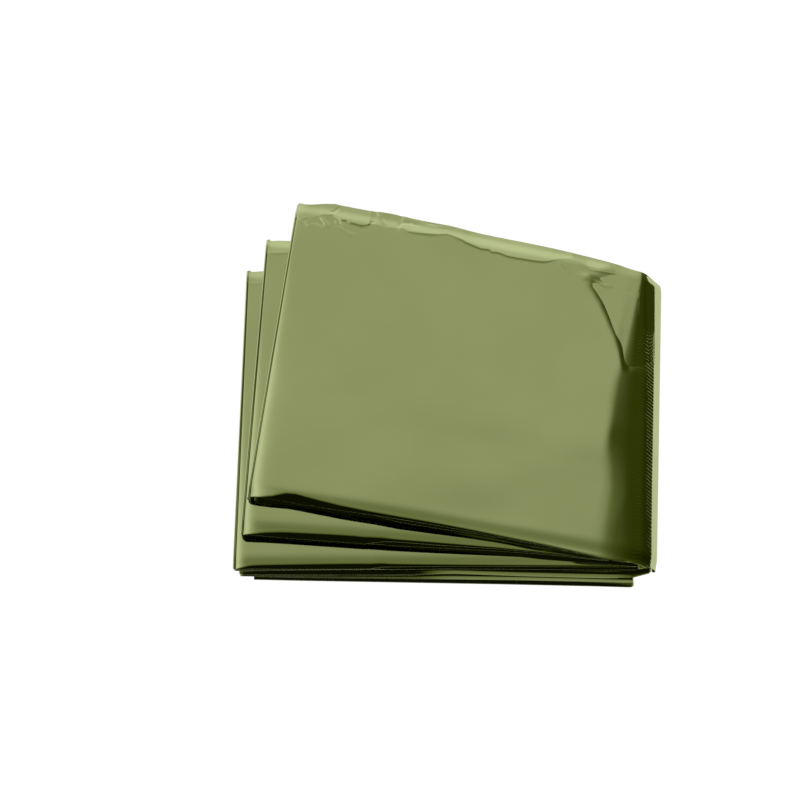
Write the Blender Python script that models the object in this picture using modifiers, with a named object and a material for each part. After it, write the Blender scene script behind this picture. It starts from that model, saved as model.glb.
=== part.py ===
"""Emergency foil blanket, folded flat to a packet.

One sheet of metallised film is folded lengthwise to a strip of six plies. The strip is then folded back and
forth. Its leaves fan out to the left, and a rounded spine on the right wraps round them all. The solid is
that strip, from its hidden inner end to its free end at the bottom.
"""

import math
from collections import namedtuple

import bpy
import numpy as np

MM = 0.001

# The sheet as it is cut, and the strip that it makes.
SHEET_WIDTH = 1320 * MM
PLY_COUNT = 6
STRIP_WIDTH = SHEET_WIDTH / PLY_COUNT
STRIP_THICKNESS = 2.0 * MM
EDGE_THINNING = 0.4  # the strip's long edges are thinner than its middle

# The middle of the packet's outline, as a point of the plan that the fold lines below use.
PLAN_CENTRE = (36.2 * MM, 2.85 * MM)

# Where the strip turns, seen from above, in millimetres: the near end of each line, its lean to the right in
# degrees, how much longer it is than the strip is wide, and how far the straight layers stop short of it.
# The top layer stops short of the spine by what the shoulder table says.
Line = namedtuple("Line", "x y lean spare inset")
LINES = {
    "inner_end": Line(33.0, -124.0, 0.5, -1.5, 0.0),
    "third_leaf": Line(-103.0, -125.0, -0.3, -0.5, 1.7),
    "lower_nest": Line(147.5, -123.0, 5.0, -9.0, 1.4),
    "second_leaf": Line(-99.0, -103.5, 2.0, -1.0, 2.1),
    "upper_nest": Line(129.0, -120.0, 5.0, -8.0, 1.5),
    "top_leaf": Line(-95.5, -82.5, 6.3, 2.0, 2.6),
    "spine": Line(158.0, -125.0, 5.2, -9.0, None),
    "spine_foot": Line(158.0, -125.0, 5.2, -9.0, 1.8),
    "base_left": Line(-99.5, -126.0, 0.0, 0.0, 1.5),
    "base_right": Line(142.0, -132.5, 0.6, 2.0, 1.5),
    "free_end": Line(-91.0, -128.5, -0.4, 1.0, 0.0),
}

# The strip's layers, from its inner end to its free end, in millimetres. Heights are of the middle of the
# strip's thickness. The crown lifts a layer, the drops lower its two long edges, and the bows push those
# edges outwards. Crown and bows swell along the layer, most of all a little to the left of its middle.
Layer = namedtuple("Layer", "left right z_left z_right crown drop_left drop_right bow_near bow_far")
LAYERS = (
    Layer("third_leaf", "inner_end", 9.8, 9.8, 0.0, 0.0, 0.0, 0.0, 0.0),
    Layer("third_leaf", "lower_nest", 13.2, 11.2, 0.4, 0.6, 0.3, 0.0, 0.0),
    Layer("second_leaf", "lower_nest", 16.1, 14.0, 0.4, 0.0, 0.0, 2.5, 1.0),
    Layer("second_leaf", "upper_nest", 20.3, 17.0, 1.4, 1.8, 0.3, -2.0, 2.0),
    Layer("top_leaf", "upper_nest", 23.2, 19.9, 1.4, 0.0, 0.0, 4.5, 4.0),
    Layer("top_leaf", "spine", 28.4, 22.9, 2.8, 2.6, 0.4, -1.5, 4.5),
    Layer("base_left", "spine_foot", 6.9, 7.2, 0.0, 0.2, 0.2, 0.0, 0.0),
    Layer("base_left", "base_right", 3.9, 4.2, 0.0, 0.2, 0.2, 0.0, 0.0),
    Layer("free_end", "base_right", 1.0, 1.0, 0.0, 0.0, 0.0, 0.0, 0.0),
)
SPINE_LAYER = 5  # the top layer, which runs on round the spine
SWELL_SKEW = 0.8

# The spine's rounded back, measured inwards from its outermost line and up from the layer under it. The
# scalloped line where the top layer starts to bend down lies farther in towards the near end.
SPINE_TIP_RADIUS = 1.8 * MM
SPINE_FACET_SLOPE = math.radians(57)
SPINE_FACET_LENGTH = 9.0 * MM
SPINE_SHOULDER_POWER = 2.0
Shoulder = namedtuple("Shoulder", "width_share inset")
SHOULDERS = (
    Shoulder(0.00, 36.0),
    Shoulder(0.20, 29.0),
    Shoulder(0.35, 33.0),
    Shoulder(0.50, 29.0),
    Shoulder(0.60, 32.0),
    Shoulder(0.70, 23.0),
    Shoulder(0.85, 18.0),
    Shoulder(1.00, 13.0),
)

# Where the grid's points lie: shares of the strip's width from its near edge, and of a layer's length.
WIDTH_SHARES = (0.0, 0.008, 0.02, 0.05, 0.12, 0.2, 0.35, 0.5, 0.6, 0.7, 0.8, 0.86, 0.915, 0.96, 1.0)
NEAR_SLOPE_END = 0.02
FAR_SLOPE_START = 0.915
LAYER_STEPS = 11
SHORT_LAYER_STEPS = 6
FOLD_STEPS = 6
SPINE_SHOULDER_STEPS = 7
SPINE_TIP_STEPS = 5

OLIVE_FILM = (0.27, 0.32, 0.12, 1.0)


def fold_line(name):
    """Points of a fold line, one for each width share, as x and y."""
    line = LINES[name]
    lean = math.radians(line.lean)
    near = np.array((line.x, line.y)) * MM
    run = (STRIP_WIDTH + line.spare * MM) * np.array((math.sin(lean), math.cos(lean)))
    return near + np.outer(WIDTH_SHARES, run)


def inset_of(name):
    """How far a layer stops short of a fold line, for each width share, as a column."""
    if name == "spine":
        shares, insets = zip(*SHOULDERS)
        return np.interp(WIDTH_SHARES, shares, insets)[:, None] * MM
    return np.full((len(WIDTH_SHARES), 1), LINES[name].inset * MM)


def smooth_step(value):
    """Rises smoothly from 0 to 1 as value does."""
    held = np.clip(value, 0.0, 1.0)
    return held * held * (3.0 - 2.0 * held)


def edge_slope():
    """1 at the strip's long edges and 0 between them: short and steep when near, longer when far."""
    share = np.array(WIDTH_SHARES)
    near = 1.0 - smooth_step(share / NEAR_SLOPE_END)
    far = smooth_step((share - FAR_SLOPE_START) / (1.0 - FAR_SLOPE_START))
    return near + far


def layer_rows(layer, steps):
    """Rows of points from a layer's left end to its right end, and its direction at each width share."""
    left, right = fold_line(layer.left), fold_line(layer.right)
    across = right - left
    length = np.linalg.norm(across, axis=1, keepdims=True)
    start = inset_of(layer.left) / length
    stop = 1.0 - inset_of(layer.right) / length
    share_of_width = np.array(WIDTH_SHARES)
    rows = []
    for step in range(steps + 1):
        share = step / steps
        plan = left + (start + share * (stop - start)) * across
        swell = math.sin(math.pi * share**SWELL_SKEW)
        bow = layer.bow_far * share_of_width**2 - layer.bow_near * (1.0 - share_of_width) ** 2
        plan[:, 1] += bow * swell * MM
        height = layer.z_left + (layer.z_right - layer.z_left) * share + layer.crown * swell
        drop = layer.drop_left + (layer.drop_right - layer.drop_left) * share
        z = (height - drop * edge_slope()) * MM
        rows.append(np.column_stack((plan, z)))
    return rows, np.column_stack((across / length, np.zeros(len(length))))


def fold_rows(start, end, outward, reach):
    """The rows of a rounded fold between two rows, without the two."""
    middle, half = (start + end) / 2, (start - end) / 2
    rows = []
    for step in range(1, FOLD_STEPS):
        turn = math.pi * step / FOLD_STEPS
        rows.append(middle + half * math.cos(turn) + outward * reach * math.sin(turn))
    return rows


def spine_rows(start, direction, foot_direction):
    """The rows that run from the top layer over the spine's shoulder and facet and round its tip."""
    tip = fold_line("spine")
    foot_z = LAYERS[SPINE_LAYER + 1].z_right * MM
    radius, slope = SPINE_TIP_RADIUS, SPINE_FACET_SLOPE
    facet_foot_inset = radius * (1.0 - math.sin(slope))
    facet_foot_rise = radius * (1.0 + math.cos(slope))
    facet_top_inset = facet_foot_inset + SPINE_FACET_LENGTH * math.cos(slope)
    facet_top_z = foot_z + facet_foot_rise + SPINE_FACET_LENGTH * math.sin(slope)

    def row(inset, z, way):
        plan = tip - way[:, :2] * inset
        return np.column_stack((plan, np.broadcast_to(z, len(plan))))

    rows = []
    for step in range(1, SPINE_SHOULDER_STEPS + 1):
        share = 1.0 - step / SPINE_SHOULDER_STEPS
        inset = facet_top_inset + share * (inset_of("spine") - facet_top_inset)
        rise = 1.0 - (1.0 - share) ** SPINE_SHOULDER_POWER
        rows.append(row(inset, facet_top_z + rise * (start[:, 2] - facet_top_z), direction))
    rows.append(row(facet_foot_inset, foot_z + facet_foot_rise, direction))
    for step in range(1, SPINE_TIP_STEPS):
        turn = slope + (math.pi - slope) * step / SPINE_TIP_STEPS
        inset = radius * (1.0 - math.sin(turn))
        rows.append(row(inset, foot_z + radius * (1.0 + math.cos(turn)), foot_direction))
    return rows


def strip_rows():
    """All rows of the strip's middle surface, in one run from the inner end to the free end."""
    rows, last_direction = [], None
    for index, layer in enumerate(LAYERS):
        steps = SHORT_LAYER_STEPS if layer.right == "inner_end" else LAYER_STEPS
        layer_run, direction = layer_rows(layer, steps)
        leftward = index % 2 == 0
        if leftward:
            layer_run.reverse()
        if index == SPINE_LAYER + 1:
            rows += spine_rows(rows[-1], last_direction, direction)
        elif index:
            shared = layer.right if leftward else layer.left
            outward = (last_direction + direction) / 2 * (1 if leftward else -1)
            rows += fold_rows(rows[-1], layer_run[0], outward, inset_of(shared))
        rows += layer_run
        last_direction = direction
    return np.array(rows)


def film_material():
    material = bpy.data.materials.new("olive metallised film")
    material.use_nodes = True
    shader = material.node_tree.nodes["Principled BSDF"]
    shader.inputs["Base Color"].default_value = OLIVE_FILM
    shader.inputs["Metallic"].default_value = 1.0
    shader.inputs["Roughness"].default_value = 0.2
    return material


def blanket(collection):
    """The folded strip: an open surface with a thickness that is thinner along its long edges."""
    points = strip_rows()
    points[:, :, 0] -= PLAN_CENTRE[0]
    points[:, :, 1] -= PLAN_CENTRE[1]
    row_count, column_count = points.shape[:2]
    index = np.arange(row_count * column_count).reshape(row_count, column_count)
    corners = (index[:-1, :-1], index[:-1, 1:], index[1:, 1:], index[1:, :-1])
    faces = np.stack(corners, axis=-1).reshape(-1, 4)
    mesh = bpy.data.meshes.new("foil_blanket")
    mesh.from_pydata(points.reshape(-1, 3).tolist(), [], faces.tolist())
    mesh.update()
    mesh.shade_smooth()
    mesh.materials.append(film_material())
    strip = bpy.data.objects.new("foil_blanket", mesh)
    collection.objects.link(strip)
    fullness = strip.vertex_groups.new(name="fullness")
    for column in range(column_count):
        at_edge = column in (0, column_count - 1)
        weight = EDGE_THINNING if at_edge else 1.0
        fullness.add(index[:, column].tolist(), weight, "REPLACE")
    solid = strip.modifiers.new("strip thickness", "SOLIDIFY")
    solid.thickness = STRIP_THICKNESS
    solid.offset = 0.0
    solid.vertex_group = "fullness"
    return strip


def main():
    for thing in list(bpy.data.objects):
        bpy.data.objects.remove(thing)
    collection = bpy.data.collections.new("emergency foil blanket")
    bpy.context.scene.collection.children.link(collection)
    blanket(collection)


main()
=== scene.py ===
"""Emergency foil blanket, folded flat to a packet: the film, its folds and creases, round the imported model.

The sheet is one open surface of film. It is folded lengthwise to a strip of six plies, and the strip runs
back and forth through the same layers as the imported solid, so a row of points goes once across all six plies.
"""

import math
from collections import namedtuple

import bpy
import numpy as np
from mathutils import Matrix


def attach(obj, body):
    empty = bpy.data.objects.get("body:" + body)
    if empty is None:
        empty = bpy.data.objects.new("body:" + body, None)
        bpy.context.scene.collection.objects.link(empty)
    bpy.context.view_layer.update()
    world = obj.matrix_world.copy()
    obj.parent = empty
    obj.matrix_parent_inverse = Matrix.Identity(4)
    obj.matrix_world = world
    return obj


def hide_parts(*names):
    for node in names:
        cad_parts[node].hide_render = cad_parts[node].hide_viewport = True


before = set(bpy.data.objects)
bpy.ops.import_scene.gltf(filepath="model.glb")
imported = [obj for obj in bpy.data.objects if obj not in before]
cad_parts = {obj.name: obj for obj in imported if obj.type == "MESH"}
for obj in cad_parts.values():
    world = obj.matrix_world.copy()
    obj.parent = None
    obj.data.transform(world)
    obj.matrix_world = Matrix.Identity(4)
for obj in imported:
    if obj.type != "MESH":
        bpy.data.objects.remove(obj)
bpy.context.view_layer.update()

MM = 0.001

# --------------------------------------------------------------------------------------------------------
# The sheet as it is cut, and the strip that it makes. Lengths in the tables are in millimetres.

SHEET_WIDTH = 1320 * MM
PLY_COUNT = 6
STRIP = SHEET_WIDTH / PLY_COUNT / MM
HALF_THICKNESS = 1.0
# The packet's middle, seen from above.
PLAN_CENTRE = (36.2 * MM, 2.85 * MM)

# Where the strip turns, seen from above: the near end of each line, its lean to the right in degrees, how
# much longer it is than the strip is wide, and how far the straight layers stop short of it.
Line = namedtuple("Line", "x y lean spare inset")
LINES = {
    "inner_end": Line(33.0, -124.0, 0.5, -1.5, 0.0),
    "third_leaf": Line(-103.0, -125.0, -0.3, -0.5, 1.7),
    "lower_nest": Line(147.5, -123.0, 5.0, -9.0, 1.4),
    "second_leaf": Line(-99.0, -103.5, 2.0, -1.0, 2.1),
    "upper_nest": Line(129.0, -120.0, 5.0, -8.0, 1.5),
    "top_leaf": Line(-95.5, -82.5, 6.3, 2.0, 2.6),
    "spine": Line(158.0, -125.0, 5.2, -9.0, 0.0),
    "base_left": Line(-99.5, -126.0, 0.0, 0.0, 1.5),
    "base_right": Line(144.6, -132.5, 0.6, 2.0, 1.5),
    "free_end": Line(-91.0, -128.5, -0.4, 1.0, 0.0),
}

# The strip's layers from its inner end to its free end. Heights are of the middle of the strip. The crown
# lifts a layer, most a little to the left of its middle, and `rows` is how many rows lie between its ends.
# The top layer's rows are given further down.
Layer = namedtuple("Layer", "left right z_left z_right crown rows")
LAYERS = (
    Layer("third_leaf", "inner_end", 9.8, 9.8, 0.0, 8),
    Layer("third_leaf", "lower_nest", 13.2, 11.2, 0.4, 34),
    Layer("second_leaf", "lower_nest", 16.1, 14.0, 0.4, 16),
    Layer("second_leaf", "upper_nest", 20.3, 17.0, 1.4, 34),
    Layer("top_leaf", "upper_nest", 23.2, 19.9, 1.4, 20),
    Layer("top_leaf", "spine", 28.4, 22.9, 2.8, 0),
    Layer("base_left", "spine", 6.9, 7.2, 0.0, 24),
    Layer("base_left", "base_right", 3.9, 4.2, 0.0, 24),
    Layer("free_end", "base_right", 1.0, 1.0, 0.0, 24),
)
TOP = 5
SWELL_SKEW = 0.8

# The near edge of each layer, along x. A layer bends down from `start` at a slope of `fall` degrees, or up
# where it is negative. Its two uppermost plies end in the fold at `fold`, the next two in the one at `edge`,
# and the lowest two a little farther in. All three are distances in from the line between the near ends of
# its two fold lines.
Near = namedtuple("Near", "x start fold edge fall")
NEAR_EDGES = {
    0: (Near(0, 2.0, 0.6, 0.6, 20),),
    1: (
        Near(-102, 0.2, 0.0, 0.3, 30),
        Near(-93, 1.9, 0.3, 0.9, 34),
        Near(-62, 2.2, 0.0, 0.6, 34),
        Near(-20, 2.4, 0.0, 0.6, 34),
        Near(-12, 2.3, 1.0, -0.2, 33),
        Near(0, 2.1, 1.0, -0.4, 32),
        Near(30, 1.8, 1.1, -0.3, 28),
        Near(62, 1.5, 0.9, -0.6, 26),
        Near(124, 1.1, 0.5, -1.4, 24),
    ),
    2: (
        Near(-98, 4.5, 0.2, 0.6, 24),
        Near(-75, 4.5, -0.4, 0.0, 28),
        Near(-31, 4.5, -0.6, -0.2, 28),
        Near(0, 4.5, -0.8, -0.4, 28),
        Near(19, 4.5, -0.5, -0.1, 28),
        Near(62, 4.5, 0.4, 0.8, 26),
        Near(87, 4.5, -0.2, 0.2, 26),
        Near(120, 4.5, 0.0, 0.4, 26),
    ),
    3: (
        Near(-98, -1.0, -1.2, -0.8, 30),
        Near(-93, -0.5, -1.2, -0.8, 30),
        Near(-87, 0.5, -1.2, -0.8, 32),
        Near(-74, 1.5, -1.3, -0.9, 33),
        Near(-37, 2.0, -1.4, -1.0, 33),
        Near(-20, 1.9, -1.4, -1.1, 33),
        Near(-13, 1.9, 0.5, -1.2, 33),
        Near(0, 1.8, 0.8, -1.2, 34),
        Near(25, 1.7, 0.7, -0.7, 34),
        Near(62, 1.5, 1.1, -0.1, 32),
        Near(86, 1.1, 0.7, 0.0, 30),
        Near(111, 0.3, -0.1, -0.6, 28),
        Near(126, -0.2, -0.6, -1.0, 25),
    ),
    4: (
        Near(-93, 4.5, -1.6, -1.2, 24),
        Near(-75, 4.5, -2.2, -1.8, 27),
        Near(-50, 4.5, -2.9, -2.5, 28),
        Near(-25, 4.5, -3.6, -3.2, 28),
        Near(0, 4.5, -3.8, -3.4, 28),
        Near(25, 4.5, -2.2, -1.8, 28),
        Near(43, 4.5, -1.3, -0.9, 28),
        Near(62, 4.5, -1.2, -0.8, 28),
        Near(90, 4.5, 0.0, 0.4, 26),
        Near(125, 4.5, 1.0, 1.4, 24),
    ),
    5: (
        Near(-95, 0.3, 0.2, 0.5, 20),
        Near(-92, 0.4, 0.4, 0.6, 24),
        Near(-86, 0.8, 0.5, 0.8, 26),
        Near(-79, 2.3, 0.6, 0.9, 27),
        Near(-71, 5.0, 0.8, 1.1, 26),
        Near(-65, 5.4, 0.7, 1.0, 26),
        Near(-59, 4.5, 0.5, 0.8, 28),
        Near(-50, 3.4, 0.3, 0.6, 30),
        Near(-37, 2.2, -0.1, 0.2, 33),
        Near(-19, 1.4, 0.0, 0.3, 34),
        Near(0, 1.2, 0.1, -1.4, 34),
        Near(25, 1.1, 0.1, -1.3, 34),
        Near(43, 0.8, -0.1, -1.0, 33),
        Near(61, 0.3, -0.2, -0.9, 30),
        Near(86, -0.4, -0.8, -1.3, 26),
        Near(104, -1.2, -1.6, -2.0, 22),
        Near(122, -2.0, -2.4, -2.6, 18),
        Near(130, -2.0, -2.5, -2.3, 18),
        Near(137, -1.6, -2.1, -1.8, 14),
        Near(141.5, -0.5, -1.3, -1.0, -20),
        Near(147, -0.8, -1.7, -1.4, -24),
        Near(151, -1.2, -2.2, -1.8, -22),
        Near(152.6, -0.9, -1.9, -1.5, -16),
        Near(154.6, 1.8, 0.8, 1.2, -8),
        Near(156.5, 2.4, 1.6, 2.0, 14),
        Near(158, 4.8, 4.0, 4.4, 25),
    ),
    6: (
        Near(-98, 1.2, 0.2, -0.1, 30),
        Near(-62, 2.7, 0.2, -0.3, 33),
        Near(-47, 2.7, 0.2, -0.3, 32),
        Near(-40, 4.5, 0.2, -0.3, 14),
        Near(-30, 4.5, 0.2, -0.3, 16),
        Near(-22, 3.5, 0.2, -0.3, 30),
        Near(8, 3.5, 0.2, -0.3, 30),
        Near(20, 3.4, 0.9, 0.7, 38),
        Near(37, 2.6, 0.8, 0.5, 42),
        Near(74, 1.5, -0.7, -1.0, 43),
        Near(112, 0.5, -1.9, -2.2, 43),
        Near(130, 0.0, -2.4, -2.7, 43),
        Near(141, 0.0, -2.4, -2.7, 43),
        Near(144.5, 2.2, -2.0, -2.3, 33),
        Near(149, 2.0, -2.2, -2.5, 34),
        Near(153.5, 2.2, -1.2, -1.4, 34),
        Near(157, 5.0, 3.8, 3.7, 30),
    ),
    7: (
        Near(-98, 2.0, 0.6, 0.3, 28),
        Near(-62, 2.8, 1.0, 0.6, 33),
        Near(0, 3.4, 1.8, 1.4, 34),
        Near(16, 3.6, 2.0, 1.7, 34),
        Near(28, 4.0, 2.3, 2.0, 41),
        Near(74, 4.3, 2.8, 2.5, 42),
        Near(112, 4.3, 2.9, 2.6, 42),
        Near(130, 4.2, 2.8, 2.5, 42),
    ),
    8: (
        Near(-90, 3.5, 1.7, 1.6, 24),
        Near(-62, 3.9, 1.7, 1.5, 26),
        Near(62, 3.8, 1.6, 1.3, 26),
        Near(124, 3.2, 1.1, 0.8, 20),
        Near(140, 2.6, 0.6, 0.4, 14),
    ),
}

# The far edge of each layer, along x. Beyond the wavy crease at `crease` the layer falls away at a slope of
# `fall` degrees to its edge. Just inside the crease the top ply rises to it at `rise` degrees, over about
# `fade`. A layer that isn't named has the plain edge.
Far = namedtuple("Far", "x edge crease fall rise fade")
PLAIN_FAR = (Far(0, 0.6, 7.0, 6.0, 2.0, 2.0),)
FAR_EDGES = {
    1: (
        Far(-105, 0.8, 12.8, 3.0, 3.0, 1.5),
        Far(-102.2, 2.4, 13.1, 5.0, 6.0, 1.5),
        Far(-97, 1.6, 12.8, 6.0, 6.0, 1.5),
        Far(-93, 1.3, 12.8, 5.0, 5.0, 1.5),
    ),
    3: (
        Far(-92.4, 0.0, 14.2, 3.0, 5.0, 1.8),
        Far(-90.2, 2.3, 13.9, 7.0, 8.0, 1.8),
        Far(-85.5, 1.4, 13.4, 8.0, 9.0, 1.8),
        Far(-75.0, 0.8, 12.1, 8.0, 9.0, 1.8),
    ),
    5: (
        Far(-73.2, -4.6, 12.6, 2.0, 3.0, 1.0),
        Far(-72.3, -2.8, 12.6, 2.5, 4.0, 1.0),
        Far(-70.8, -1.6, 12.6, 4.5, 6.0, 1.0),
        Far(-69.0, -1.0, 12.7, 5.5, 9.0, 1.0),
        Far(-65.0, -0.2, 13.0, 4.0, 14.0, 1.0),
        Far(-62.0, -0.5, 11.6, 3.5, 9.0, 1.2),
        Far(-58.0, -1.4, 10.2, 3.5, 3.0, 1.2),
        Far(-55.2, -2.3, 9.5, 3.5, 6.0, 1.0),
        Far(-52.5, -2.9, 7.3, 4.5, 15.0, 1.0),
        Far(-45.0, -4.2, 5.8, 4.5, 23.4, 1.1),
        Far(-42.2, -4.1, 6.9, 5.0, 23.4, 1.2),
        Far(-38.8, -4.0, 8.7, 5.0, 22.1, 1.3),
        Far(-35.4, -4.0, 8.4, 5.0, 22.1, 1.4),
        Far(-32.6, -3.9, 9.5, 5.0, 22.1, 1.5),
        Far(-25.1, -3.9, 10.3, 5.0, 22.1, 1.6),
        Far(-21.7, -3.9, 9.2, 5.0, 17.0, 1.6),
        Far(-19.8, -3.9, 7.6, 4.0, 13.0, 2.0),
        Far(-16.3, -4.0, 7.2, 2.5, 8.0, 2.6),
        Far(-13.0, -4.2, 8.2, 1.5, 5.0, 2.6),
        Far(-10.0, -4.4, 8.6, 2.0, 4.0, 2.6),
        Far(-6.5, -4.7, 8.3, 3.5, 4.0, 2.4),
        Far(-0.7, -4.5, 6.8, 4.5, 4.0, 2.0),
        Far(2.0, -4.4, 6.4, 4.8, 9.1, 1.4),
        Far(6.8, -4.1, 8.6, 5.5, 15.6, 1.3),
        Far(16.9, -3.6, 7.9, 6.0, 19.5, 1.6),
        Far(25.7, -3.5, 6.7, 6.5, 19.5, 2.0),
        Far(33.2, -3.4, 4.5, 6.5, 19.5, 2.4),
        Far(37.2, -3.3, 5.6, 7.0, 20.8, 2.2),
        Far(42.6, -3.1, 6.8, 7.5, 22.1, 1.8),
        Far(45.9, -3.0, 8.4, 8.0, 23.4, 1.5),
        Far(50.6, -3.0, 9.7, 8.5, 23.4, 1.3),
        Far(57.3, -3.0, 11.3, 9.0, 23.4, 1.2),
        Far(60.7, -3.0, 10.1, 9.0, 22.1, 1.2),
        Far(64.0, -3.0, 12.1, 9.0, 23.4, 1.1),
        Far(67.4, -3.0, 11.2, 9.0, 23.4, 1.1),
        Far(74.1, -3.1, 12.8, 9.0, 23.4, 1.1),
        Far(80.8, -3.2, 12.8, 9.0, 23.4, 1.1),
        Far(94.2, -3.0, 12.2, 8.5, 23.4, 1.1),
        Far(99.6, -2.8, 11.3, 8.5, 22.1, 1.1),
        Far(103.0, -2.6, 9.6, 8.0, 20.8, 1.1),
        Far(104.4, -2.6, 8.9, 8.0, 10.0, 1.1),
        Far(106.5, -2.5, 7.4, 7.5, 3.0, 1.1),
        Far(110.0, -2.4, 5.4, 8.5, 0.0, 1.1),
        Far(113.5, -2.3, 4.2, 10.0, 0.0, 1.1),
        Far(116.5, -2.2, 3.8, 11.0, 0.0, 1.1),
        Far(122.3, -2.1, 5.6, 10.0, 0.0, 1.1),
        Far(127.4, -2.0, 7.6, 8.5, 0.0, 1.1),
        Far(138.0, -1.2, 8.2, 7.0, 0.0, 1.1),
        Far(150.0, 0.0, 7.9, 6.5, 0.0, 1.1),
        Far(158.0, 1.2, 7.0, 6.0, 0.0, 1.1),
        Far(164.0, 1.8, 6.5, 5.8, 0.0, 1.1),
        Far(168.5, 2.1, 6.3, 5.5, 0.0, 1.1),
        Far(171.7, 3.0, 7.0, 5.0, 0.0, 1.1),
        Far(175.0, 4.0, 8.0, 5.0, 0.0, 1.1),
    ),
}

# Where the top leaf bends down to the spine, at each share of the strip's width from its near edge: how far
# in from the spine's outermost line the bend starts and how softly, its slope there and at its end, and then
# the steeper brow and the facet above the rounded tip.
Spine = namedtuple("Spine", "share inset soft start end brow brow_run facet facet_slope")
SPINE = (
    Spine(-0.02, 39.0, 6.0, 8.0, 14.0, 28, 6.0, 6.2, 53),
    Spine(0.06, 38.0, 6.0, 8.0, 14.0, 28, 6.0, 6.3, 53),
    Spine(0.13, 36.0, 5.0, 8.5, 14.5, 29, 6.0, 6.5, 52),
    Spine(0.21, 33.0, 4.0, 9.5, 15.0, 30, 6.0, 6.6, 52),
    Spine(0.28, 34.0, 4.5, 9.5, 15.0, 30, 6.0, 6.7, 51),
    Spine(0.34, 35.0, 3.5, 10.5, 15.0, 30, 6.0, 6.7, 51),
    Spine(0.39, 34.0, 2.2, 12.0, 15.0, 30, 6.0, 6.7, 51),
    Spine(0.43, 33.0, 2.8, 11.5, 15.0, 31, 6.0, 6.7, 51),
    Spine(0.51, 32.0, 3.4, 11.0, 15.5, 31, 6.0, 6.7, 51),
    Spine(0.57, 30.5, 3.2, 10.5, 15.5, 32, 6.0, 6.7, 51),
    Spine(0.63, 27.5, 2.6, 10.0, 16.0, 32, 6.2, 6.7, 51),
    Spine(0.70, 24.5, 2.6, 9.0, 17.0, 34, 6.6, 6.7, 51),
    Spine(0.77, 21.0, 2.6, 8.5, 17.5, 36, 7.0, 6.7, 51),
    Spine(0.85, 18.0, 2.2, 9.0, 19.0, 38, 7.2, 6.7, 51),
    Spine(0.93, 15.8, 1.8, 10.0, 20.0, 39, 7.4, 6.7, 51),
    Spine(1.02, 14.2, 1.4, 12.0, 20.0, 40, 7.4, 6.7, 51),
)
BROW_ROUNDING = 2.0
SPINE_TIP_RADIUS = 1.8

# How softly a layer bends down at its near edge and at its far crease.
NEAR_ROUNDING = 0.7
FAR_ROUNDING = 0.25

# A leaf's top bends down towards its left fold by two slopes that fade away from it, in degrees. They grow
# to the near end from this share of the strip's width.
DROOP_SHARE = 0.75
Droop = namedtuple("Droop", "run near_slope far_slope")
LEFT_DROOPS = (
    Droop(2.5, 9.0, 0.6),
    Droop(8.0, 3.2, 0.0),
)


def by_table(rows, key, value, where):
    """A table's column, read in between its rows."""
    return np.interp(where, [getattr(row, key) for row in rows], [getattr(row, value) for row in rows])


def tangent(degrees):
    """The rise of a slope in degrees."""
    return np.tan(np.radians(degrees))


def ramp(depth, rounding):
    """Nothing up to 0 and then as much as depth, with the corner rounded for so far on both sides."""
    bend = np.clip(depth + rounding, 0.0, 2.0 * rounding)
    return np.where(depth < rounding, bend * bend / (4.0 * rounding), depth)


def smooth_step(value):
    """Rises smoothly from 0 to 1 as value does."""
    held = np.clip(value, 0.0, 1.0)
    return held * held * (3.0 - 2.0 * held)


def line_points(name, share):
    """Points of a fold line at shares of the strip's width, as x and y in millimetres."""
    line = LINES[name]
    lean = math.radians(line.lean)
    length = STRIP + line.spare
    run = length * np.array((math.sin(lean), math.cos(lean)))
    return np.array((line.x, line.y)) + share[..., None] * run


# --------------------------------------------------------------------------------------------------------
# The columns: one run across the whole sheet, from the top ply's free far edge to the last ply's.

# A column lies between `near` from the near fold (blend 0) and `far` plus a share of the margin from the
# far edge (blend 1). The margin runs from that edge to the far crease, and a ply slips in from the edge by
# `slip`. Plies are joined by rounded folds, whose columns have a turn from 0 to 1.
Column = namedtuple("Column", "blend near far margin ply near_fold slip turn")

# How a ply's columns are spaced: from the near fold in, evenly over the middle, inside the far crease, and as
# shares of the margin beyond it.
Spacing = namedtuple("Spacing", "near middle lips margin")
TOP_PLY_SPACING = Spacing(
    near=(0.0, 0.35, 0.8, 1.3, 1.9, 2.6, 3.4, 4.3, 5.3, 6.5, 8.2, 10.5, 13.5),
    middle=56,
    lips=(0.35, 0.75, 1.2, 1.7, 2.2, 2.8, 3.4, 4.1, 4.9, 5.8, 6.8, 7.9, 9.1, 10.5, 12.5, 15.5),
    margin=(0.0, 0.05, 0.11, 0.18, 0.26, 0.34, 0.42, 0.5, 0.58, 0.66, 0.74, 0.82, 0.89, 0.95, 1.0),
)
LAST_PLY_SPACING = Spacing((0.0, 0.5, 1.2, 2.1, 3.2, 4.6, 6.5, 9.5), 5, (2.0, 6.0), (0.0, 0.3, 0.7, 1.0))
INNER_PLY_SPACING = Spacing((0.0, 1.2, 3.4, 8.0), 4, (4.0,), (0.0, 0.4, 1.0))
FOLD_TURNS = (0.2, 0.5, 0.8)
FOLD_REACH = 0.07
# How far each ply's far edge lies in from the layer's.
FAR_SLIPS = (0.0, 0.5, 0.5, 1.1, 1.1, 0.4)
# How much farther in the lowest near fold lies than the one above it.
LOWEST_FOLD_BACK = 1.6
# The plies are pressed together along the strip's edges: how much of their spread is left there, and how far
# in it is whole again.
PRESSED = 0.12
PRESSED_RUN = 9.0
# How fast a crease in the top ply fades from each ply to the next.
PLY_FADE = 0.8


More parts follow.
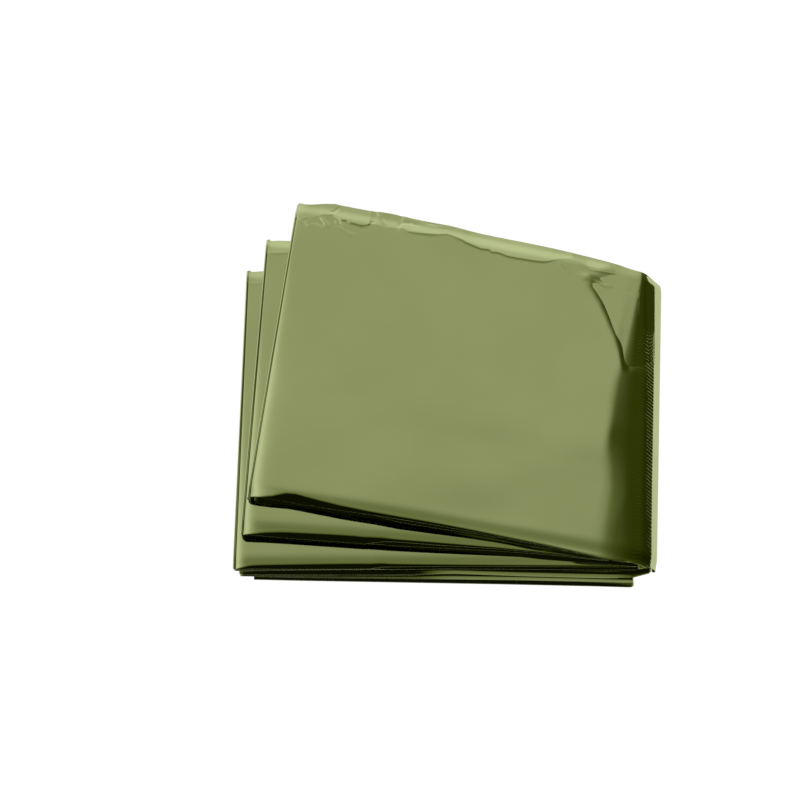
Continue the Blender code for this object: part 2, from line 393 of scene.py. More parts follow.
def ply_columns(ply):
    """A ply's columns from its near edge to its far one."""
    spacing = {0: TOP_PLY_SPACING, PLY_COUNT - 1: LAST_PLY_SPACING}.get(ply, INNER_PLY_SPACING)
    fold, slip = ply // 2, FAR_SLIPS[ply]
    last_near, last_lip = spacing.near[-1], spacing.lips[-1]
    columns = [Column(0.0, place, 0.0, 0.0, ply, fold, slip, 0.0) for place in spacing.near]
    for number in range(1, spacing.middle):
        columns.append(Column(number / spacing.middle, last_near, last_lip, 1.0, ply, fold, slip, 0.0))
    columns += [Column(1.0, 0.0, place, 1.0, ply, fold, slip, 0.0) for place in reversed(spacing.lips)]
    columns += [Column(1.0, 0.0, 0.0, share, ply, fold, slip, 0.0) for share in reversed(spacing.margin)]
    return columns


def sheet_columns():
    """All columns: plies that run to the near edge and back, and the folds that join them."""
    columns = []
    for ply in range(PLY_COUNT):
        run = ply_columns(ply)
        if ply % 2 == 0:
            run.reverse()
        columns += run
        if ply == PLY_COUNT - 1:
            break
        for turn in FOLD_TURNS:
            between = ply + (1.0 - math.cos(math.pi * turn)) / 2
            columns.append(Column(float(ply % 2), 0.0, 0.0, 0.0, between, ply // 2, FAR_SLIPS[ply], turn))
    return columns


COLUMNS = sheet_columns()
BLEND, NEAR, FAR, MARGIN, PLY, NEAR_FOLD, SLIP, TURN = (np.array(values) for values in zip(*COLUMNS))
FOLD_OUT = FOLD_REACH * np.sin(math.pi * TURN)
CREASE_SHARE = np.exp(-PLY_FADE * PLY)

Edges = namedtuple("Edges", "start fall folds far_edge crease far_fall rise fade")


def edges_at(index, near_x, far_x):
    """A layer's edges at rows that end at these two places along x. Its three near folds each have a place of
    their own."""
    far_edge = FAR_EDGES.get(index, PLAIN_FAR)
    near = {name: by_table(NEAR_EDGES[index], "x", name, near_x)[:, None] for name in Near._fields[1:]}
    far = {name: by_table(far_edge, "x", name, far_x)[:, None] for name in Far._fields[1:]}
    folds = (near["fold"], near["edge"], near["edge"] + LOWEST_FOLD_BACK)
    return Edges(near["start"], near["fall"], np.hstack(folds if index % 2 else folds[::-1]),
                 far["edge"], far["crease"], far["fall"], far["rise"], far["fade"])


def width_shares(edges):
    """How far across the strip's width each column lies, for each row."""
    from_near = NEAR + edges.folds[:, NEAR_FOLD] - FOLD_OUT
    from_far = edges.far_edge + SLIP + FAR + MARGIN * (edges.crease - edges.far_edge - SLIP) - FOLD_OUT
    return ((1.0 - BLEND) * from_near + BLEND * (STRIP - from_far)) / STRIP


def edge_bends(edges, share):
    """How much lower the layer lies along its bent near edge, and beyond and just inside its far crease."""
    from_near, past_crease = share * STRIP, edges.crease - (1.0 - share) * STRIP
    near = tangent(edges.fall) * ramp(edges.start - from_near, NEAR_ROUNDING)
    lift = tangent(edges.rise) * edges.fade * np.exp(np.minimum(past_crease, 0.0) / edges.fade)
    return near + tangent(edges.far_fall) * ramp(past_crease, FAR_ROUNDING) - lift * CREASE_SHARE


def ply_offset(index, share):
    """How far each ply lies above the strip's middle, less so along the strip's thin edges."""
    upward = 1.0 if index % 2 else -1.0
    from_near, from_far = share * STRIP, (1.0 - share) * STRIP
    inside = smooth_step(from_near / PRESSED_RUN) * smooth_step(from_far / PRESSED_RUN)
    fullness = PRESSED + (1.0 - PRESSED) * inside
    return upward * (1.0 - 2.0 * PLY / (PLY_COUNT - 1)) * HALF_THICKNESS * fullness


# --------------------------------------------------------------------------------------------------------
# The top leaf's own creases, given one by one.

# A ridge, or a trough where the height is negative, along a line of points. Left and right are how far its
# two sides reach, as seen along it. Up to the sharp reach they are flat, and wider ones are rounded. Its
# height fades over a share of its length at each end.
Ridge = namedtuple("Ridge", "height left right points")
SHARP_REACH = 3.0
RIDGE_FADE = 0.2
RIDGES = (
    Ridge(0.38, 1.2, 1.3, ((-65, 124.5), (-61.9, 118.5), (-57.1, 118.5), (-53, 115.7), (-47.6, 117.7))),
    Ridge(0.35, 1.6, 1.1, ((-63.4, 125.9), (-60.6, 121.8), (-61.9, 118.5))),
    Ridge(-0.32, 1.6, 1.2, ((-57.5, 125.5), (-57.0, 120.5))),
    Ridge(0.42, 1.0, 0.9, ((-52.2, 119.6), (-47.3, 116.6))),
    Ridge(0.32, 1.6, 1.0, ((-54.6, 125.9), (-52.4, 122.6), (-47.6, 117.7))),
    Ridge(0.35, 1.1, 1.4, ((-45.6, 119.3), (-33.9, 111.2), (-28.4, 109.6))),
    Ridge(0.26, 0.9, 1.0, ((-44.3, 122.6), (-42.1, 118.5))),
    Ridge(0.29, 1.0, 1.1, ((-40.8, 121.8), (-36.0, 115.3))),
    Ridge(-0.35, 1.0, 1.1, ((-48.5, 129.6), (-45.1, 129.6), (-41.1, 134.5))),
    Ridge(0.32, 0.9, 1.2, ((-13.7, 129.2), (-11.6, 121.8), (-9.5, 118.5))),
    Ridge(-0.26, 1.2, 1.2, ((-20.5, 121.5), (-17.5, 120.5))),
    Ridge(-0.50, 3.0, 2.2, ((-3.0, 112.0), (-0.6, 118.5), (1.0, 126.0), (1.8, 140.0))),
    Ridge(-0.45, 2.6, 3.0, ((-21.0, 114.0), (-18.5, 121.0), (-17.0, 128.0), (-16.5, 140.0))),
    Ridge(-0.48, 2.6, 1.0, ((0.7, 121.2), (8.2, 120.6), (12.2, 118.6))),
    Ridge(0.22, 0.9, 0.9, ((0.6, 119.4), (2.4, 119.2))),
    Ridge(-0.32, 1.6, 1.0, ((17.7, 121.4), (25.9, 119.6))),
    Ridge(-0.19, 0.9, 0.9, ((29.2, 116.4), (31.4, 115.6))),
    Ridge(-0.28, 10.0, 7.0, ((58.0, 72.5), (86.4, 67.4), (96.3, 65.8), (112.0, 70.0))),
    Ridge(0.40, 2.2, 2.6, (
        (103.4, 91.8), (106.3, 88.6), (109.5, 84.8), (114.0, 80.2), (117.2, 78.4), (120.6, 79.0))),
    Ridge(0.60, 4.5, 2.8, ((117.0, 79.6), (125.0, 79.6), (131.0, 77.0), (138.0, 73.0), (144.0, 70.5))),
    Ridge(0.38, 6.0, 1.8, ((130.5, 76.0), (138.0, 72.8), (147.1, 69.6), (161.0, 65.3))),
    Ridge(0.20, 1.4, 2.2, ((135.0, 66.4), (146.1, 63.3), (159.2, 61.8))),
    Ridge(0.20, 0.8, 1.4, ((116.5, 94.9), (122.3, 90.1), (127.4, 86.1), (150.0, 83.0))),
)

# Film that slumps to the right of a line, over a run that changes along it, and rises again slowly. Its depth
# fades towards the line's ends, to nothing at so many half lengths from its middle, and its two bends are a
# little rounded.
Slump = namedtuple("Slump", "drop start_run end_run tail points")
SLUMP_END, SLUMP_GROWTH = 1.15, 2.6
SLUMP_ROUNDING = 0.15
SLUMPS = (
    Slump(1.35, 5.0, 6.0, 60.0, (
        (144.5, 12.0), (143.2, 22.0), (140.8, 34.0), (136.6, 47.0), (132.4, 59.5), (128.6, 68.0),
        (124.0, 75.0))),
)


def along_and_aside(points, x, y):
    """How far points of the plan are along a line of points, from 0 to 1, and how far to its left."""
    corners = np.array(points, dtype=float)
    runs = np.diff(corners, axis=0)
    lengths = np.linalg.norm(runs, axis=1)
    before = np.concatenate(((0.0,), np.cumsum(lengths)[:-1]))
    nearest = np.full(x.shape, np.inf)
    along, aside = np.zeros_like(x), np.zeros_like(x)
    last = len(runs) - 1
    for number, (corner, run, length) in enumerate(zip(corners, runs, lengths)):
        way_x, way_y = run / length
        ahead = (x - corner[0]) * way_x + (y - corner[1]) * way_y
        side = (y - corner[1]) * way_x - (x - corner[0]) * way_y
        held = np.clip(ahead, 0.0, length)
        distance = np.hypot(ahead - held, side)
        taken = distance < nearest
        nearest = np.where(taken, distance, nearest)
        past_end = (ahead < 0) & (number == 0) | (ahead > length) & (number == last)
        along = np.where(taken, (before[number] + np.where(past_end, ahead, held)) / lengths.sum(), along)
        aside = np.where(taken, np.sign(side) * np.where(past_end, np.abs(side), distance), aside)
    return along, aside


def creases(x, y):
    """Height that the listed creases add at points of the plan."""
    total = np.zeros_like(x)
    for ridge in RIDGES:
        along, aside = along_and_aside(ridge.points, x, y)
        reach = np.where(aside > 0, ridge.left, ridge.right)
        taper = np.clip(np.minimum(along, 1.0 - along) / RIDGE_FADE, 0.0, 1.0)
        side = np.clip(1.0 - np.abs(aside) / reach, 0.0, 1.0)
        side += (smooth_step(side) - side) * np.clip((reach - SHARP_REACH) / SHARP_REACH, 0.0, 1.0)
        total += ridge.height * side * taper
    for slump in SLUMPS:
        along, aside = along_and_aside(slump.points, x, y)
        run = slump.start_run + (slump.end_run - slump.start_run) * np.clip(along, 0.0, 1.0)
        fade = smooth_step(SLUMP_GROWTH * (SLUMP_END - np.abs(2.0 * along - 1.0)))
        down = np.clip(-aside / run, 0.0, 1.0)
        down += SLUMP_ROUNDING * (smooth_step(down) - down)
        total -= slump.drop * down * fade * np.exp(np.minimum(aside + run, 0.0) / slump.tail)
    return total


# The long waves are drawn from this seed. Each slopes by this much at its steepest.
WAVE_SEED = 7
WAVE_COUNT = 14
WAVE_SLOPE = 0.0045
SHORTEST_WAVE, LONGEST_WAVE = 35.0, 110.0


def undulation(x, y):
    """The film's soft unevenness: a few long waves of seeded length, way and place."""
    draw = np.random.default_rng(WAVE_SEED)
    total = np.zeros_like(x)
    for _ in range(WAVE_COUNT):
        length = draw.uniform(SHORTEST_WAVE, LONGEST_WAVE)
        way = draw.uniform(0.0, 2.0 * math.pi)
        start = draw.uniform(0.0, 2.0 * math.pi)
        pace = 2.0 * math.pi / length
        total += WAVE_SLOPE / pace * np.sin(pace * (x * math.cos(way) + y * math.sin(way)) + start)
    return total


# --------------------------------------------------------------------------------------------------------
# Rows of points. A segment is an array of rows by columns by x, y and z, in millimetres.

# Where a layer's rows lie, from its left end, if it were as long as this reach. Those by the left end are
# given one by one, closer where the layer shows, and the last gap is the one at its right end.
LAYER_REACH = 225.0
LEFT_PLACES = (0.0, 0.2, 0.5, 0.9, 1.4, 2.0, 2.8, 3.8, 5.0, 6.5, 8.5, 11.0, 14.0)
HIDDEN_LEFT_PLACES = (0.0, 2.0, 6.0, 14.0)
SHOWN_LAYERS = (1, 3)
LAST_GAP = 3.0


def left_droop(distance, share):
    """How far a leaf's top bends down towards its left fold, more so at its near end."""
    near = np.clip(1.0 - share / DROOP_SHARE, 0.0, 1.0)
    total = 0.0
    for droop in LEFT_DROOPS:
        slope = droop.far_slope + (droop.near_slope - droop.far_slope) * near
        total = total + tangent(slope) * droop.run * np.exp(-distance / droop.run)
    return total


def layer_rows(index):
    """One layer's rows from its left end to its right end."""
    layer = LAYERS[index]
    places = LEFT_PLACES if index in SHOWN_LAYERS else HIDDEN_LEFT_PLACES
    between = np.linspace(places[-1], LAYER_REACH - LAST_GAP, layer.rows + 1)[1:]
    rows = np.concatenate((places, between, (LAYER_REACH,))) / LAYER_REACH
    near_x, far_x = (line_points(layer.left, end)[0] * (1.0 - rows) + line_points(layer.right, end)[0] * rows
                     for end in (np.array(0.0), np.array(1.0)))
    edges = edges_at(index, near_x, far_x)
    share = width_shares(edges)
    left, right = line_points(layer.left, share), line_points(layer.right, share)
    length = np.linalg.norm(right - left, axis=2)
    start, stop = LINES[layer.left].inset, LINES[layer.right].inset
    along = start + rows[:, None] * (length - start - stop)
    plan = left + (along / length)[..., None] * (right - left)
    swell = np.sin(math.pi * rows**SWELL_SKEW)[:, None]
    height = layer.z_left + (layer.z_right - layer.z_left) * rows[:, None] + layer.crown * swell
    if layer.left.endswith("leaf"):
        height = height - left_droop(along - start, share)
    height = height - edge_bends(edges, share) + ply_offset(index, share)
    return np.dstack((plan, height))


# The top leaf's rows: where its crumpled, left, middle and right parts end, and how many places each part
# has, with both its ends.
TOP_PARTS = ((48.0, 60), (78.0, 32), (172.0, 38), (LAYER_REACH, 36))
BEND_ROWS, BROW_ROWS, FACET_ROWS, TIP_ROWS = 20, 6, 4, 8
# The film's long waves die out over this run, where the bend to the spine starts.
WAVE_FADE = 12.0
# The film's stretch lines lie on the spine's bend, from its outermost line inwards, and not at its far end.
STRETCH_REACH, STRETCH_FADE = 19.0, 8.0
STRETCH_FAR_END, STRETCH_FAR_FADE = 0.76, 0.04


def top_flat_rows():
    """The rows of the top leaf's flat part, from 0 at its left fold to 1 where it bends to the spine."""
    places = list(LEFT_PLACES)
    for end, count in TOP_PARTS:
        places += list(np.linspace(places[-1], end, count)[1:])
    return np.array(places) / LAYER_REACH


def even_parts(count):
    """Even steps from 0 to 1, without 0."""
    return np.linspace(0.0, 1.0, count + 1)[1:]


class TopSection:
    """The top leaf's section at shares of the strip's width: where its rows lie, how high they are, and what
    the spine's facet and tip go on from."""

    def __init__(self, share):
        layer, foot = LAYERS[TOP], LAYERS[TOP + 1]
        spine = {name: by_table(SPINE, "share", name, share) for name in Spine._fields[1:]}
        slope, radius = np.radians(spine["facet_slope"]), SPINE_TIP_RADIUS
        left, self.tip = line_points(layer.left, share), line_points(layer.right, share)
        across = self.tip - left
        self.length = np.linalg.norm(across, axis=-1)
        self.way = across / self.length[..., None]
        self.slope = slope
        self.facet_foot = radius * (1.0 - np.sin(slope))
        self.facet_foot_z = foot.z_right + radius * (1.0 + np.cos(slope))
        self.facet_top = self.facet_foot + spine["facet"] * np.cos(slope)
        self.facet_top_z = self.facet_foot_z + spine["facet"] * np.sin(slope)
        bend_run = spine["inset"] - self.facet_top - spine["brow_run"]

        flat, bend, brow = top_flat_rows(), even_parts(BEND_ROWS), even_parts(BROW_ROWS)
        start = LINES[layer.left].inset
        boundary = self.length - spine["inset"]
        flat_part = np.concatenate((flat, np.ones(BEND_ROWS + BROW_ROWS)))[:, None]
        bend_part = np.concatenate((np.zeros(len(flat)), bend, np.ones(BROW_ROWS)))[:, None]
        brow_part = np.concatenate((np.zeros(len(flat) + BEND_ROWS), brow))[:, None]
        bent = bend_part * bend_run + brow_part * spine["brow_run"]
        self.along = start + flat_part * (boundary - start) + bent
        self.from_left = self.along - start
        self.plan = left + self.along[..., None] * self.way

        brow_drop = tangent(spine["brow"]) * spine["brow_run"]
        first, last = tangent(spine["start"]), tangent(spine["end"])
        z_bend = self.facet_top_z + brow_drop + (first + last) / 2 * bend_run
        reach = boundary - start
        turn = np.clip(self.from_left / reach, 0.0, 1.0)
        skewed = math.pi * turn**SWELL_SKEW
        end_slope = (z_bend - layer.z_left - layer.crown * math.pi * SWELL_SKEW) / reach
        past = self.along - boundary
        past_brow = past - bend_run
        height = layer.z_left + (z_bend - layer.z_left) * turn + layer.crown * np.sin(skewed)
        height = height + end_slope * np.maximum(past, 0.0) - (first + end_slope) * ramp(past, spine["soft"])
        height = height - (last - first) / (2.0 * bend_run) * np.clip(past, 0.0, bend_run) ** 2
        height = height - (last - first) * np.maximum(past_brow, 0.0)
        self.height = height - (tangent(spine["brow"]) - last) * ramp(past_brow, BROW_ROUNDING)
        self.level = 1.0 - np.clip(past / WAVE_FADE, 0.0, 1.0)
        stretched = smooth_step((self.along - self.length + STRETCH_REACH) / STRETCH_FADE)
        self.stretch = stretched * smooth_step((STRETCH_FAR_END - share) / STRETCH_FAR_FADE)


def top_rows():
    """The top leaf and the spine, from the left fold to where the strip runs flat under the packet, and how
    much of the spine's stretch lines each point has."""
    foot = LAYERS[TOP + 1]
    near_end, far_end = (TopSection(np.full((1, 1), end)).plan[:, 0, 0] for end in (0.0, 1.0))
    edges = edges_at(TOP, near_end, far_end)
    share = width_shares(edges)
    section = TopSection(share)
    x, y = section.plan[..., 0], section.plan[..., 1]
    height = section.height - left_droop(section.from_left, share) - edge_bends(edges, share)
    height = height + creases(x, y) * CREASE_SHARE + undulation(x, y) * section.level
    middle = np.dstack((section.plan, height))

    # The facet and the rounded tip, down to the layer under the packet.
    radius = SPINE_TIP_RADIUS
    facet_top, facet_top_z, facet_foot, facet_foot_z, slope, tip, way = (part[-1] for part in (
        section.facet_top, section.facet_top_z, section.facet_foot, section.facet_foot_z, section.slope,
        section.tip, section.way))
    spare = height[-1] - facet_top_z
    added = []
    for part in even_parts(FACET_ROWS):
        inset = facet_top + (facet_foot - facet_top) * part
        z = facet_top_z + (facet_foot_z - facet_top_z) * part
        added.append(np.column_stack((tip - way * inset[:, None], z + spare * (1.0 - part))))
    for part in even_parts(TIP_ROWS):
        turn = slope + (math.pi - slope) * part
        inset, z = radius * (1.0 - np.sin(turn)), foot.z_right + radius * (1.0 + np.cos(turn))
        added.append(np.column_stack((tip - way * inset[:, None], z)))
    middle = np.concatenate((middle, np.array(added)))

    # Plies lie along the normal of each section, which turns with the spine.
    run = np.gradient(middle, axis=0)
    sideways = np.sum(run[..., :2] * way, axis=2)
    lengthwise = np.hypot(sideways, run[..., 2])
    offset = ply_offset(TOP, np.concatenate((share, np.repeat(share[-1:], len(added), axis=0))))
    middle[..., :2] -= way * (run[..., 2] / lengthwise * offset)[..., None]
    middle[..., 2] += sideways / lengthwise * offset
    return middle, np.concatenate((section.stretch, np.zeros((len(added), len(COLUMNS)))))


# A left fold's outer ply, from the top: how far out it goes, and how far down at its near end and at its
# far one, before its wall drops to the layer under it. It has a narrow ledge at its near end, so the fold
# shows as two close lines there.
Bead = namedtuple("Bead", "out near_down far_down")
BEADS = (
    Bead(0.10, 0.04, 0.04),
    Bead(0.60, 0.45, 0.45),
    Bead(0.72, 0.52, 0.54),
    Bead(1.15, 0.64, 0.90),
    Bead(1.25, 0.70, 0.98),
    Bead(1.85, 1.20, 1.47),
    Bead(2.05, 1.50, 1.75),
    Bead(2.20, 2.00, 2.20),
)
# The wall under the beads: how far out it goes, and which part of the rest of the height it is down.
WALL = ((2.25, 0.25), (2.2, 0.55), (1.8, 0.85), (0.9, 0.98))
# From this share of the strip's width on, and over this much of it, the beads change from near to far.
BEAD_CHANGE, BEAD_CHANGE_RUN = 0.25, 0.45
# How far out the innermost ply of a left fold goes.
INNER_REACH = 0.5


def left_fold(upper, lower, outward, outer_ply):
    """The rows of a leaf's left fold, between its upper layer's left end and its lower layer's. Its plies go
    from the beads of the outer one to a plain turn at the innermost."""
    outerness = (1.0 - np.abs(PLY - outer_ply) / (PLY_COUNT - 1))[:, None]
    total = upper[:, 2:] - lower[:, 2:]
    farness = smooth_step((BLEND - BEAD_CHANGE) / BEAD_CHANGE_RUN)[:, None]
    downs = [bead.near_down + (bead.far_down - bead.near_down) * farness for bead in BEADS]
    places = [(bead.out, down / total) for bead, down in zip(BEADS, downs)]
    places += [(out, places[-1][1] + part * (1.0 - places[-1][1])) for out, part in WALL]
    rows = []
    for number, (out, part) in enumerate(places):
        turn = math.pi * (number + 1) / (len(places) + 1)
        inner = (upper + lower) / 2 + (upper - lower) / 2 * math.cos(turn)
        inner[:, :2] += outward * (INNER_REACH * math.sin(turn))
        outer = upper + (lower - upper) * part
        outer[:, :2] += outward * out
        rows.append(inner + (outer - inner) * outerness)
    return rows


PLAIN_FOLD_ROWS = 5
PLAIN_FOLD_REACH = 0.6
# Which way the folds point, seen from above.
RIGHTWARD, BASE_LEFTWARD, LEAF_LEFTWARD = (np.array(way) for way in ((1.0, 0.05), (-1.0, 0.0), (-1.0, 0.07)))


def plain_fold(start, end, outward, reach):
    """The rows of a rounded fold between two rows, without the two."""
    middle, half = (start + end) / 2, (start - end) / 2
    rows = []
    for number in range(1, PLAIN_FOLD_ROWS + 1):
        turn = math.pi * number / (PLAIN_FOLD_ROWS + 1)
        row = middle + half * math.cos(turn)
        row[:, :2] += outward * (reach * math.sin(turn))
        rows.append(row)
    return rows


def strip_rows():
    """All rows of the sheet, from the strip's inner end to its free end, and how much of the spine's stretch
    lines each point has."""
    rows, stretches = [], []
    for index, layer in enumerate(LAYERS):
        leftward = index % 2 == 0
        if index == TOP:
            run, stretch = top_rows()
        else:
            run = layer_rows(index)
            stretch = np.zeros(run.shape[:2])
        if leftward:
            run = run[::-1]
        if index and index != TOP + 1:
            before, after = rows[-1], run[0]
            if leftward:
                fold = plain_fold(before, after, RIGHTWARD, LINES[layer.right].inset + PLAIN_FOLD_REACH)
            elif layer.left == "base_left":
                fold = left_fold(before, after, BASE_LEFTWARD, PLY_COUNT - 1)
            else:
                fold = left_fold(after, before, LEAF_LEFTWARD, 0)[::-1]
            rows += fold
            stretches += [np.zeros(len(COLUMNS))] * len(fold)
        rows += list(run)
        stretches += list(stretch)
    return np.array(rows), np.array(stretches)


# --------------------------------------------------------------------------------------------------------
# Materials.


class Wire:
    """A shader socket. Sums with it add their Math nodes."""

    def __init__(self, shader, socket):
        self.shader, self.socket = shader, socket

    def _math(self, operation, first, second):
        return self.shader.node("ShaderNodeMath", {"operation": operation}, {0: first, 1: second})

    def __add__(self, other):
        return self._math("ADD", self, other)

    __radd__ = __add__

    def __sub__(self, other):
        return self._math("SUBTRACT", self, other)

    def __rsub__(self, other):
        return self._math("SUBTRACT", other, self)

    def __mul__(self, other):
        return self._math("MULTIPLY", self, other)

    __rmul__ = __mul__


class Shader:
    """A node tree that is built by calls."""

    def __init__(self, tree):
        self.tree = tree
        tree.nodes.clear()

    def node(self, kind, settings=None, inputs=None, output=0):
        """A node with its settings made first and its sockets then set or linked; gives one output."""
        made = self.tree.nodes.new(kind)
        for name, value in (settings or {}).items():
            if name == "stops":
                ramp_stops = made.color_ramp.elements
                while len(ramp_stops) < len(value):
                    ramp_stops.new(0.5)
                for stop, (place, colour) in zip(ramp_stops, value):
                    stop.position, stop.color = place, (*colour, 1.0)
            else:
                setattr(made, name, value)
        for name, value in (inputs or {}).items():
            if isinstance(value, Wire):
                self.tree.links.new(value.socket, made.inputs[name])
            else:
                made.inputs[name].default_value = value
        return Wire(self, made.outputs[output]) if made.outputs else made

    def rise(self, value, low, high):
        """0 below low and 1 above high, with a smooth step between them."""
        return self.node("ShaderNodeMapRange", {"interpolation_type": "SMOOTHSTEP"},
                         {"Value": value, "From Min": low, "From Max": high})


FILM_COLOUR = (0.42, 0.47, 0.23, 1.0)
FILM_SHADE = (0.405, 0.455, 0.218, 1.0)
# The scale and the detail of the film's noises: its haze, crinkle and specks, and the wobble of the hairs.
FILM_NOISES = ((22.0, 3.0), (160.0, 4.0), (900.0, 1.0), (60.0, 2.0))
HAZE_SPAN = (0.35, 0.7)
SPECK_SPAN = (0.66, 0.8)
FILM_ROUGHNESS, HAZE_ROUGHNESS = 0.05, 0.05
# The stretch lines are hairs across the spine's bend: how far apart they are in millimetres, how much they
# wander, and where on their wave they stand out.
HAIR_PITCH = 2.5
HAIR_WANDER = 8.0
HAIR_SPAN = (0.7, 1.0)
CRINKLE_HEIGHT, SPECK_HEIGHT, HAIR_HEIGHT = 0.05, 0.10, 0.75
BUMP_STRENGTH, BUMP_DISTANCE = 0.35, 0.2 * MM


def film_material():
    """Olive metallised film: a tinted mirror with soft haze, fine crinkle and stretch lines at the spine."""
    material = bpy.data.materials.new("olive metallised film")
    material.use_nodes = True
    shader = Shader(material.node_tree)
    place = shader.node("ShaderNodeTexCoord", output="Object")
    stretch, across, face = (shader.node("ShaderNodeAttribute", {"attribute_name": name}, output="Fac")
                             for name in ("stretch", "across", "open_face"))
    haze, crinkle, specks, wobble = (
        shader.node("ShaderNodeTexNoise", {}, {"Vector": place, "Scale": scale, "Detail": detail})
        for scale, detail in FILM_NOISES)
    colour = shader.node("ShaderNodeMix", {"data_type": "RGBA"},
                         {"Factor": shader.rise(haze, *HAZE_SPAN), 6: FILM_SHADE, 7: FILM_COLOUR}, output=2)
    lines = shader.node("ShaderNodeMath", {"operation": "SINE"},
                        {0: across * (2.0 * math.pi / HAIR_PITCH) + wobble * HAIR_WANDER})
    hairs = shader.rise(lines, *HAIR_SPAN) * stretch
    grain = crinkle * CRINKLE_HEIGHT + shader.rise(specks, *SPECK_SPAN) * SPECK_HEIGHT
    bump = shader.node("ShaderNodeBump", {}, {
        "Strength": BUMP_STRENGTH, "Distance": BUMP_DISTANCE, "Height": grain * face + hairs * HAIR_HEIGHT})
    film = shader.node("ShaderNodeBsdfPrincipled", {}, {
        "Base Color": colour,
        "Metallic": 1.0,
        "Roughness": FILM_ROUGHNESS + haze * HAZE_ROUGHNESS,
        "Normal": bump,
    })
    shader.node("ShaderNodeOutputMaterial", {}, {"Surface": film})
    return material


# --------------------------------------------------------------------------------------------------------
# The piece.

# The film's grain starts this far in from a near edge, and is full this much farther in.
GRAIN_START, GRAIN_RUN = 2.0, 6.0


def foil_sheet():
    """The blanket's sheet as one open surface, and its film."""
    grid, stretches = strip_rows()
    rows, columns = grid.shape[:2]
    points = grid.reshape(-1, 3) * MM
    points[:, :2] -= PLAN_CENTRE
    corner = np.arange((rows - 1) * columns).reshape(rows - 1, columns)[:, :-1].ravel()
    faces = np.column_stack((corner, corner + 1, corner + columns + 1, corner + columns))
    mesh = bpy.data.meshes.new("foil_sheet")
    mesh.from_pydata(points.tolist(), [], faces.tolist())
    mesh.shade_smooth()
    steps_across = np.linalg.norm(np.diff(grid, axis=1), axis=2)
    across = np.hstack((np.zeros((rows, 1)), np.cumsum(steps_across, axis=1)))
    from_near = np.where(BLEND < 1.0, NEAR + BLEND * STRIP, STRIP)
    open_face = np.tile(smooth_step((from_near - GRAIN_START) / GRAIN_RUN), (rows, 1))
    for name, values in (("stretch", stretches), ("across", across), ("open_face", open_face)):
        attribute = mesh.attributes.new(name, "FLOAT", "POINT")
        attribute.data.foreach_set("value", values.astype(np.float32).ravel())
    sheet = bpy.data.objects.new("foil_sheet", mesh)
    bpy.context.scene.collection.objects.link(sheet)
    mesh.materials.append(film_material())
    return sheet


# --------------------------------------------------------------------------------------------------------
# Floor, light and camera.

FLOOR_SIZE = 60.0
FLOOR_HEIGHT = -0.3 * MM
FLOOR_GLOW = 1.02


def pale_floor():
    """A wide plain floor that shines evenly, so the packet lies on white."""
    bpy.ops.mesh.primitive_plane_add(size=FLOOR_SIZE, location=(0.0, 0.0, FLOOR_HEIGHT))
    floor = bpy.context.object
    floor.name = "floor"
    material = bpy.data.materials.new("plain white floor")
    material.use_nodes = True
    shader = Shader(material.node_tree)
    glow = shader.node("ShaderNodeEmission", {}, {"Color": (1.0, 1.0, 1.0, 1.0), "Strength": FLOOR_GLOW})
    shader.node("ShaderNodeOutputMaterial", {}, {"Surface": glow})
    floor.data.materials.append(material)


# The studio's brightness by the height of the light, in degrees over the top from the far horizon to the
# near one, and, on the left, by how far it is to that side.
BRIGHTEST = 1.4
OVERHEAD = (
    (0, 1.18), (20, 1.18), (28, 1.08), (36, 0.92), (42, 0.80), (48, 0.71), (54, 0.65), (62, 0.655),
    (66, 0.61), (70, 0.53), (75, 0.43), (84, 0.32), (95, 0.20), (103, 0.04), (107, 0.01), (142, 0.01),
    (152, 0.3), (165, 0.5), (180, 0.66),
)
LEFT_SIDE = ((0.4, 1.25), (0.6, 0.85), (0.73, 0.42), (0.84, 0.12), (1.0, 0.08))
# Where each part of the studio begins and is whole, to the right along x and to the back along y: the left
# side, the glow at the back left, and two shades at the back right, each with how much light it takes.
LEFT_SPAN = (-0.65, -0.4)
LEFT_GLOW = 1.14
GLOW_SPAN, GLOW_BACK_SPAN = (-0.38, -0.14), (-0.1, 0.15)
SHADES = ((0.88, 0.22, 0.54), (0.06, 0.60, 0.90))
SHADE_BACK_SPAN = (-0.35, -0.05)
# The colour of each brightness. The darks are a deep olive, as where film reflects film.
TINTS = (
    (0.0, (0.0, 0.0, 0.0)),
    (0.076, (0.0625, 0.0757, 0.005)),
    (0.27, (0.248, 0.27, 0.133)),
    (0.68, (0.674, 0.687, 0.59)),
    (1.03, (1.03, 1.03, 1.03)),
    (1.4, (1.4, 1.4, 1.4)),
)


def light_levels(shader, place, stops):
    """Brightness read off stops along a place from 0 to 1, as a part of the brightest."""
    shades = [(spot, (value / BRIGHTEST,) * 3) for spot, value in stops]
    return shader.node("ShaderNodeValToRGB", {"stops": shades}, {"Fac": place})


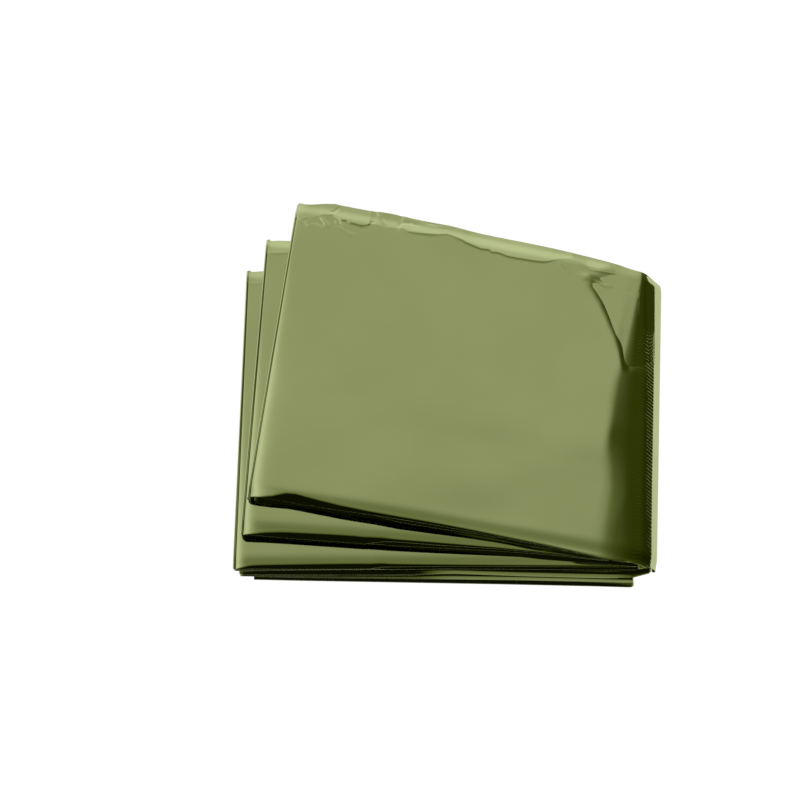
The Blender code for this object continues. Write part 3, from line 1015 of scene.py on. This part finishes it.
def studio_light():
    """A soft studio: bright low at the back and high on the left, and dark above the camera, far to the left
    and at the back right."""
    world = bpy.data.worlds.new("soft studio")
    bpy.context.scene.world = world
    world.use_nodes = True
    shader = Shader(world.node_tree)
    way = shader.node("ShaderNodeTexCoord", output="Generated")
    x, y, z = (shader.node("ShaderNodeSeparateXYZ", {}, {"Vector": way}, output=axis) for axis in "XYZ")
    turn = shader.node("ShaderNodeMath", {"operation": "ARCTAN2"}, {0: z, 1: y})
    half_turn = [(degrees / 180.0, value) for degrees, value in OVERHEAD]
    overhead = light_levels(shader, turn * (1.0 / math.pi), half_turn)
    left_side = light_levels(shader, x * -1.0, LEFT_SIDE)
    aside = 1.0 - shader.rise(x, *LEFT_SPAN)
    level = overhead * (1.0 - aside) + left_side * aside
    back_left = (1.0 - shader.rise(x, *GLOW_SPAN)) * (1.0 - aside) * shader.rise(y, *GLOW_BACK_SPAN)
    level = level * (1.0 - back_left) + back_left * (LEFT_GLOW / BRIGHTEST)
    first, second = (taken * shader.rise(x, low, high) for taken, low, high in SHADES)
    level = level * (1.0 - (first + second) * shader.rise(y, *SHADE_BACK_SPAN))
    tint = shader.node("ShaderNodeValToRGB", {"stops": [
        (place / BRIGHTEST, [part / BRIGHTEST for part in colour]) for place, colour in TINTS
    ]}, {"Fac": level})
    glow = shader.node("ShaderNodeBackground", {}, {"Color": tint, "Strength": BRIGHTEST})
    shader.node("ShaderNodeOutputWorld", {}, {"Surface": glow})


CAMERA_SPOT = (-0.0362, -0.4958, 0.9271)
CAMERA_TILT = math.radians(28.0)
CAMERA_LENS, CAMERA_SENSOR = 71.5, 36.0


def photo_camera():
    """The camera of the photo: 62 degrees above the floor, looking along +Y."""
    camera = bpy.data.cameras.new("camera")
    camera.lens = CAMERA_LENS
    camera.sensor_width = CAMERA_SENSOR
    holder = bpy.data.objects.new("camera", camera)
    holder.location = CAMERA_SPOT
    holder.rotation_euler = (CAMERA_TILT, 0.0, 0.0)
    bpy.context.scene.collection.objects.link(holder)
    bpy.context.scene.camera = holder


photo_camera()
studio_light()
pale_floor()
sheet = foil_sheet()
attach(sheet, "root")
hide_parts("foil_blanket")

bpy.context.scene.view_settings.view_transform = "Standard"
bpy.context.scene.view_settings.look = "None"

bpy.context.view_layer.update()
